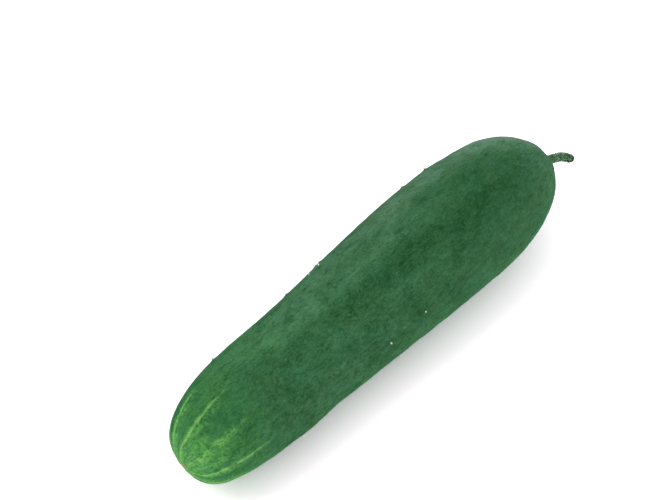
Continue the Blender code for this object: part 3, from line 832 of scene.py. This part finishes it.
def fibre_group():
    """Fibres that run along the fruit and meet at the scar: mottling on the flow's direction and the
    share, each scaled so that a fibre has its width and its length."""
    inputs = {"Flow": None, "Width mm": 1.4, "Length mm": 9.0, "Wander": 0.5}
    group, wires, start, end = new_group("fibres", inputs, ("Mask",))
    part = wires.parts(start["Flow"])
    unit = wires.parts(wires.in_section(part, "NORMALIZE")[0])
    across = wires.over(MEAN_GIRTH / MM, start["Width mm"])
    along = wires.over(LENGTH / MM, start["Length mm"])
    place = wires.joined(
        wires.times(unit["X"], across), wires.times(unit["Y"], across), wires.times(part["Z"], along))
    wires.feed(end["Mask"], wires.noise(place, 1.0, *MOTTLE_NOISE, start["Wander"]))
    return group


def streak_group():
    """One pale streak: a bell over the distance from the line that leaves the scar at its angle, faded
    in near the scar and out along the fruit. The ragged noise pushes it aside, the patchy noise makes it
    thin and faint in places, and a wide one breaks up into flecks. The halo is the same bell, wider."""
    inputs = {"Flow": None, "Ragged": 0.5, "Patchy": 0.5, "Fleck": 0.5, "Cos": 1.0, "Sin": 0.0,
              "Last share": 0.1, "Half width": 0.0005, "Brightness": 1.0, "Halo width": 0.0025}
    group, wires, start, end = new_group("streak", inputs, ("Mask", "Halo"))
    part = wires.parts(start["Flow"])
    ahead = wires.plus(wires.times(part["X"], start["Cos"]), wires.times(part["Y"], start["Sin"]))
    aside = wires.minus(wires.times(part["Y"], start["Cos"]), wires.times(part["X"], start["Sin"]))
    aside = wires.plus(aside, wires.ramp(start["Ragged"], *STREAK_BY_RAGGED, "LINEAR"))

    fade = wires.ramp(part["Z"], start["Last share"], wires.times(start["Last share"], STREAK_FADES))
    fade = wires.times(fade, wires.ramp(ahead, *STREAK_START), start["Brightness"])
    width = wires.times(start["Half width"], wires.ramp(fade, *WIDTH_BY_FADE, "LINEAR"))
    width = wires.times(width, wires.ramp(start["Patchy"], *WIDTH_BY_PATCHY))
    bell = wires.bell(wires.over(aside, width))
    broken = wires.ramp(start["Half width"], *BROKEN_BY_WIDTH)
    flecks = wires.plus(1.0, wires.times(broken, wires.ramp(start["Fleck"], *LIGHT_BY_FLECK)))
    wires.feed(end["Mask"], wires.times(bell, fade, flecks, wires.ramp(start["Patchy"], *LIGHT_BY_PATCHY)))

    near_tip = wires.ramp(part["Z"], start["Last share"], wires.times(start["Last share"], HALO_FADES))
    wires.feed(end["Halo"], wires.times(wires.bell(wires.over(aside, start["Halo width"])), near_tip))
    return group


def new_material(name):
    material = bpy.data.materials.new(name)
    material.use_nodes = True
    return material, Wires(material.node_tree), material.node_tree.nodes["Principled BSDF"]


class SkinReadings:
    """What the skin's looks are worked out from: where a point is, the marks stored there, and noises."""

    def __init__(self, wires, mottle, fibres):
        self.place, self.flow = wires.place(), wires.attribute("flow")
        part, marks = wires.parts(self.flow), wires.parts(wires.attribute("marks"))
        self.share, self.from_line = part["Z"], wires.in_section(part, "LENGTH")["Value"]
        self.wart, self.tone, self.dust_and_sheen = marks["X"], marks["Y"], marks["Z"]

        speckle = wires.group(mottle, Vector=self.place, **SPECKLE)
        self.speckle, self.grain = speckle["Mask"], speckle["Grain"]
        self.wisp = wires.group(mottle, Vector=wires.drawn(self.place, WISP_DRAWN), **WISP)["Mask"]
        self.cloud = wires.group(mottle, Vector=wires.drawn(self.place, CLOUD_DRAWN), **CLOUD)["Mask"]
        self.blotch = wires.spots(wires.drawn(self.place, BLOTCH_DRAWN), *BLOTCH_NOISE)
        self.fibre = wires.group(fibres, Flow=self.flow, **FIBRE)["Mask"]

        mottled = wires.plus(
            wires.swing(self.speckle, SPECKLE_SWAY), wires.swing(self.wisp, WISP_SWAY),
            wires.swing(self.fibre, FIBRE_SWAY), wires.swing(self.grain, GRAIN_SWAY))
        self.mottled = wires.times(mottled, wires.ramp(self.share, *MOTTLE_BY_SHARE, "LINEAR"))
        patchy = wires.ramp(wires.spots(self.place, *COOL_NOISE), *COOL_BY_NOISE)
        self.cool = wires.larger(patchy, wires.ramp(self.share, *COOL_BY_SHARE))

        stroke = wires.group(fibres, Flow=self.flow, **STROKE)["Mask"]
        round_fleck = wires.times(wires.spots(self.place, *FLECK_NOISE), 1 - STROKE_PART)
        self.fleck = wires.plus(round_fleck, wires.times(stroke, STROKE_PART))

        ragged = wires.plus(self.from_line, wires.swing(self.grain, SCAR_RAGGED))
        self.blossom_half = wires.math("LESS_THAN", self.share, 0.5)
        self.scar = wires.times(wires.ramp(ragged, *SCAR_BY_DISTANCE), self.blossom_half)


def body_green(wires, at):
    """The body's green: dark to light by a tone of mottling, clouds, blotches and dark bands, with a
    painted shade among them, warm or cool by patches, under a waxy bloom on the light bands, with a painted
    sheen among them. The bloom turns paler and bluer under a painted sheen on one side and under the dusty
    bloom at the stem end."""
    tone = wires.plus(
        BASE_TONE, at.mottled, wires.swing(at.cloud, CLOUD_SWAY), wires.swing(at.blotch, BLOTCH_SWAY),
        wires.times(wires.smaller(at.tone, 0.0), SHADE_DEPTH), wires.ramp(at.share, *TONE_BY_SHARE))
    light = wires.mix(at.cool, SKIN_LIGHT_WARM, SKIN_LIGHT_COOL)
    green = wires.mix(wires.larger(wires.times(tone, TONE_SPAN), LEAST_TONE), SKIN_DARK, light)

    waxy = wires.mix(wires.ramp(at.share, *WAXY_BY_SHARE), YOUNG_BLOOM, SKIN_BLOOM)
    # The painted sheen on the upper side, and the dusty bloom at the stem end, turn the bloom paler and
    # bluer.
    waxy = wires.mix(at.dust_and_sheen, waxy, DUST_AND_SHEEN_BLOOM)
    bloom = wires.plus(wires.larger(at.tone, 0.0), wires.ramp(at.share, *BLOOM_BY_SHARE))
    mottled = wires.times(at.mottled, wires.ramp(at.share, *BLOOM_MOTTLE_BY_SHARE))
    bloom = wires.times(bloom, wires.ramp(at.cloud, *BLOOM_BY_CLOUD), wires.plus(1.0, mottled))
    return wires.mix(bloom, green, waxy)


def streaks_and_halos(wires, at, streak):
    """The strongest of the streaks at a point, and the strongest of their halos."""
    pale, halo = 0.0, 0.0
    for turn, last, half_width, brightness, halo_width in STREAKS:
        one = wires.group(
            streak, Flow=at.flow, Ragged=at.fibre, Patchy=at.speckle, Fleck=at.fleck,
            Cos=math.cos(math.radians(turn)), Sin=math.sin(math.radians(turn)), Last_share=last,
            Half_width=half_width, Brightness=brightness, Halo_width=halo_width)
        pale, halo = wires.larger(pale, one["Mask"]), wires.larger(halo, one["Halo"])
    return pale, halo


def blossom_green(wires, at, green, streak):
    """Fresh leaf green that comes in towards the tip, with bright dots near the streaks and a cooler
    green away from them, and the pale streaks on it."""
    pale, halo = streaks_and_halos(wires, at, streak)
    place = wires.plus(
        at.share, wires.swing(at.fibre, YOUNG_FIBRE_SWAY), wires.swing(at.cloud, YOUNG_CLOUD_SWAY))
    young = wires.math("POWER", wires.ramp(place, *YOUNG_BY_SHARE), YOUNG_POWER)
    dots = wires.times(wires.ramp(at.fleck, *DOTS_BY_FLECK), wires.ramp(halo, *DOTS_BY_HALO))
    # The bands' tone carries its painted shade and painted sheen into the leaf green as well.
    tone = wires.plus(
        LEAF_TONE, wires.times(at.mottled, LEAF_MOTTLE), dots, wires.times(halo, LEAF_HALO),
        wires.times(at.tone, LEAF_BANDS))
    leaf = wires.mix(wires.larger(tone, 0.0), LEAF_DARK, LEAF_LIGHT)
    cool = wires.times(
        at.cool, wires.ramp(at.fleck, *LEAF_COOL_BY_FLECK), wires.ramp(halo, *LEAF_COOL_BY_HALO))
    green = wires.mix(young, green, wires.mix(cool, leaf, LEAF_COOL))
    return wires.mix(wires.smaller(pale, 1.0), green, STREAK_GREEN)


def pores_and_warts(wires, at, green):
    """Small dark and pale pores, and warts, darkened partly as a painted shade, that are scuffed pale in
    places, partly as a painted highlight.
    """
    pore = wires.spots(wires.drawn(at.place, PORE_DRAWN), *PORE_NOISE)
    green = wires.mix(wires.ramp(pore, *DARK_BY_PORE), green, PORE_GREEN)
    green = wires.mix(wires.ramp(pore, *PALE_BY_PORE), green, SKIN_BLOOM)
    scuff_and_highlight = wires.ramp(wires.spots(at.place, *SCUFF_AND_HIGHLIGHT_NOISE), *SCUFF_AND_HIGHLIGHT_BY_NOISE)
    wart = wires.mix(scuff_and_highlight, WART_DARK_AND_SHADE, WART_PALE_AND_HIGHLIGHT)
    return wires.mix(wires.ramp(at.wart, *GREEN_BY_WART), green, wart)


def scar_and_collar(wires, at, green):
    """The flower's corky scar in a pale ring, and the collar round the stem's seat."""
    ring = wires.times(wires.ramp(at.from_line, *RING_BY_DISTANCE), at.blossom_half)
    green = wires.mix(wires.times(ring, RING_STRENGTH), green, STREAK_GREEN)
    cork = wires.mix(at.grain, SCAR_DARK, SCAR_LIGHT)
    green = wires.mix(wires.times(at.scar, SCAR_STRENGTH), green, cork)
    stem_half = wires.math("GREATER_THAN", at.share, 0.5)
    collar = wires.times(wires.ramp(at.from_line, *COLLAR_BY_DISTANCE), stem_half)
    return wires.mix(wires.times(collar, COLLAR_STRENGTH), green, COLLAR_GREEN)


def skin_gloss(wires, at, surface):
    """A satin gloss that fades out where the skin is seen edge on, a weak dusty sheen, and fine bumps."""
    rough = wires.plus(
        SKIN_ROUGH, wires.swing(at.cloud, ROUGH_CLOUD_SWAY), wires.swing(at.grain, ROUGH_GRAIN_SWAY),
        wires.times(at.scar, SCAR_ROUGH))
    edge_on = wires.add("ShaderNodeLayerWeight", {"Blend": 0.5}).outputs["Facing"]
    specular = wires.ramp(edge_on, *SPECULAR_FADE, SKIN_SPECULAR, 0.0)
    height = wires.plus(
        wires.times(at.wisp, WISP_BUMP), wires.times(at.grain, GRAIN_BUMP),
        wires.times(at.fibre, FIBRE_BUMP))
    # The socket's own value stays for a viewer that can't read the link.
    surface.inputs["Specular IOR Level"].default_value = SKIN_SPECULAR
    wires.fill(surface, {
        "Roughness": rough, "Specular IOR Level": specular, "Sheen Weight": SHEEN_WEIGHT,
        "Sheen Roughness": SHEEN_ROUGHNESS, "Normal": wires.bump(height, SKIN_BUMP),
    })


def skin_material(mottle, fibres, streak):
    """Waxy dark green skin: mottled, fibrous and bloomed, bright green and streaked at the blossom end."""
    material, wires, surface = new_material("cucumber_skin")
    at = SkinReadings(wires, mottle, fibres)
    green = body_green(wires, at)
    green = blossom_green(wires, at, green, streak)
    green = pores_and_warts(wires, at, green)
    wires.fill(surface, {"Base Color": scar_and_collar(wires, at, green)})
    skin_gloss(wires, at, surface)
    return material


def spine_material(mottle):
    """Glassy white spines."""
    material, wires, surface = new_material("spine_white")
    speckle = wires.group(mottle, Vector=wires.place(), **SPINE_SPECKLE)
    white = wires.mix(wires.ramp(speckle["Mask"], *WHITE_BY_SPECKLE), SPINE_FOOT_GREEN, SPINE_WHITE)
    wires.fill(surface, {"Base Color": white, "Roughness": wires.ramp(speckle["Grain"], *ROUGH_BY_GRAIN)})
    return material


def stem_material(mottle):
    """A rough green stalk, paler on its ribs, with a pale speckled painted light where it faces up, plain
    green at its foot and dark round its rim, with a moist pale cut that has a darker core."""
    material, wires, surface = new_material("stem_green")
    marks = wires.parts(wires.attribute("marks"))
    on_cut, gone, rib = marks["X"], marks["Y"], marks["Z"]
    speckle = wires.group(mottle, Vector=wires.place(), **STEM_SPECKLE)["Mask"]
    tone = wires.ramp(speckle, *LIGHT_BY_SPECKLE)
    green = wires.mix(tone, STEM_DARK, STEM_LIGHT)
    ribbed = wires.times(wires.ramp(rib, *PALE_BY_RIB), wires.ramp(gone, *RIBS_BY_GONE))
    green = wires.mix(wires.times(ribbed, tone), green, STEM_RIB_GREEN)
    # Painted light: the side that faces up is drawn paler, in speckles.
    top_light = wires.ramp(wires.parts(wires.attribute("outward"))["Z"], *TOP_LIGHT_BY_UP)
    top_light = wires.times(top_light, wires.ramp(speckle, *TOP_LIGHT_BY_SPECKLE))
    green = wires.mix(top_light, green, STEM_TOP_LIGHT_GREEN)
    green = wires.mix(wires.ramp(gone, *FOOT_BY_GONE), green, STEM_FOOT_GREEN)
    green = wires.mix(wires.ramp(gone, *RIM_BY_GONE), green, STEM_DARK)
    flesh = wires.mix(tone, FLESH_DARK, FLESH_LIGHT)
    flesh = wires.mix(wires.ramp(on_cut, *CORE_BY_CUT), flesh, FLESH_CORE)
    wires.fill(surface, {
        "Base Color": wires.mix(wires.ramp(on_cut, *FLESH_BY_CUT), green, flesh),
        "Roughness": wires.ramp(speckle, *ROUGH_BY_SPECKLE), "Specular IOR Level": STEM_SPECULAR,
        "Normal": wires.bump(speckle, STEM_BUMP),
    })
    return material


def hair_material(mottle):
    """Pale green stem hairs."""
    material, wires, surface = new_material("stem_hair")
    speckle = wires.group(mottle, Vector=wires.place(), **HAIR_SPECKLE)
    colour = wires.mix(wires.ramp(speckle["Mask"], *HAIR_BY_SPECKLE), HAIR_DARK, HAIR_LIGHT)
    wires.fill(surface, {"Base Color": colour, "Roughness": HAIR_ROUGH})
    return material


def make_floor():
    """A white table, far wider than the view."""
    half = TABLE_HALF
    points = np.array([(-half, -half, 0), (half, -half, 0), (half, half, 0), (-half, half, 0)])
    floor = mesh_piece("table", points, np.array([[0, 1, 2, 3]]))
    material, wires, surface = new_material("table_white")
    wires.fill(surface, {"Base Color": TABLE_WHITE, "Roughness": TABLE_ROUGH, "Specular IOR Level": 0.0})
    floor.data.materials.append(material)


def make_light():
    """An even white room, and a broad soft key from the upper left of the view."""
    key = bpy.data.lights.new("key", "SUN")
    key.energy, key.angle = KEY_STRENGTH, KEY_SPREAD
    lamp = bpy.data.objects.new("key", key)
    lamp.rotation_euler = Vector(KEY_FROM).to_track_quat("Z", "Y").to_euler()
    bpy.context.scene.collection.objects.link(lamp)
    world = bpy.data.worlds.new("room")
    world.use_nodes = True
    world.node_tree.nodes["Background"].inputs["Color"].default_value = (*ROOM_WHITE, 1)
    bpy.context.scene.world = world


def make_camera():
    """The photograph's camera: it looks down on the fruit from its blossom end, off to one side."""
    back = Vector((
        -math.sin(CAMERA_SWING) * math.cos(CAMERA_RISE),
        -math.cos(CAMERA_SWING) * math.cos(CAMERA_RISE),
        math.sin(CAMERA_RISE),
    ))
    lens = bpy.data.cameras.new("camera")
    lens.lens, lens.sensor_width = LENS_MM, SENSOR_MM
    camera = bpy.data.objects.new("camera", lens)
    camera.location = AIM + back * CAMERA_DISTANCE
    camera.rotation_mode = "QUATERNION"
    camera.rotation_quaternion = (-back).to_track_quat("-Z", "Y")
    bpy.context.scene.collection.objects.link(camera)
    bpy.context.scene.camera = camera


def dress(piece, material, slot, *nodes):
    """Gives a piece its material, seats it on the part's body, and hides the parts that it replaces. Its
    slot is not used.
    """
    piece.data.materials.append(material)
    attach(piece, "root")
    if nodes:
        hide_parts(*nodes)


def main():
    mottle = mottle_group()
    dress(make_fruit(), skin_material(mottle, fibre_group(), streak_group()), "skin", "fruit")
    dress(make_spines(), spine_material(mottle), "skin")
    dress(make_stem(), stem_material(mottle), "stem", "stem")
    dress(make_hairs(), hair_material(mottle), "stem")
    make_floor()
    make_light()
    make_camera()
    bpy.context.scene.view_settings.view_transform = "Standard"


main()
